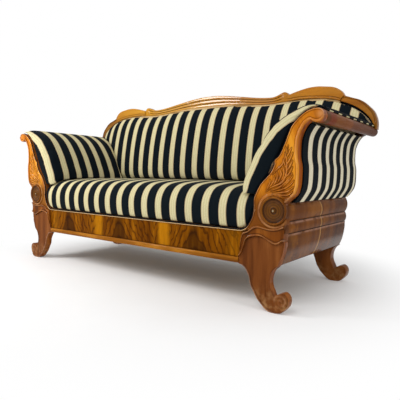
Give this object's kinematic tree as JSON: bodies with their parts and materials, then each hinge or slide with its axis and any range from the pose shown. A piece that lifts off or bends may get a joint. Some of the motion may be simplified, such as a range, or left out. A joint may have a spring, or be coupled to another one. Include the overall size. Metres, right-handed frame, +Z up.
{
  "type": "recamier",
  "caption": "Scroll-arm settee with a full upholstered back, outswept padded arms, shaped crest rail, veneered apron, carved arm facings with rosettes, and S-shaped legs.",
  "frame": {"origin": "on the floor, under the middle of the whole settee", "axes": "+X along the seat's length, to the left of a person who sits on it; +Y from the front to the back; +Z up"},
  "size_m": [2.0632, 0.729, 1.04],
  "materials": {
    "walnut_dark": "dark walnut under shellac polish",
    "walnut_gold": "amber figured walnut under shellac polish",
    "walnut_crest": "golden walnut under shellac polish",
    "pine": "bare sawn softwood",
    "stripe_cloth": "woven stripe of cream and dark navy",
    "navy_cloth": "plain dark navy cloth",
    "jute": "coarse jute and canvas",
    "spring_steel": "coppered spring wire"
  },
  "bodies": {
    "root": {"front_apron": "walnut_gold", "front_bead": "walnut_dark", "front_rail": "pine", "rear_rail": "pine", "cross_rail": "pine", "seat_webbing": "jute", "seat_springs": "spring_steel", "seat_hessian": "jute", "seat_pad": "stripe_cloth", "seat_gimp": "navy_cloth", "back_bottom_rail": "walnut_dark", "back_lower_rail": "pine", "back_top_rail": "pine", "back_slat_left": "pine", "back_slat_right": "pine", "back_canvas": "jute", "back_pad": "stripe_cloth", "back_outer_cover": "navy_cloth", "crest_centre": "walnut_crest", "front_leg_left": "walnut_dark", "rear_leg_left": "walnut_dark", "arch_moulding_left": "walnut_gold", "arm_facing_left": "walnut_gold", "rosette_ring_left": "walnut_gold", "rosette_disc_left": "walnut_dark", "arm_roll_left": "walnut_dark", "rear_post_left": "walnut_dark", "side_bombe_left": "walnut_gold", "side_torus_left": "walnut_dark", "side_ovolo_left": "walnut_dark", "side_rail_left": "pine", "front_corner_block_left": "pine", "rear_corner_block_left": "pine", "arm_rail_left": "pine", "arm_canvas_left": "jute", "arm_outer_cover_left": "stripe_cloth", "arm_pad_left": "stripe_cloth", "crest_shell_left": "walnut_crest", "crest_shoulder_left": "walnut_crest", "front_leg_right": "walnut_dark", "rear_leg_right": "walnut_dark", "arch_moulding_right": "walnut_gold", "arm_facing_right": "walnut_gold", "rosette_ring_right": "walnut_gold", "rosette_disc_right": "walnut_dark", "arm_roll_right": "walnut_dark", "rear_post_right": "walnut_dark", "side_bombe_right": "walnut_gold", "side_torus_right": "walnut_dark", "side_ovolo_right": "walnut_dark", "side_rail_right": "pine", "front_corner_block_right": "pine", "rear_corner_block_right": "pine", "arm_rail_right": "pine", "arm_canvas_right": "jute", "arm_outer_cover_right": "stripe_cloth", "arm_pad_right": "stripe_cloth", "crest_shell_right": "walnut_crest", "crest_shoulder_right": "walnut_crest"}
  },
  "joints": []
}
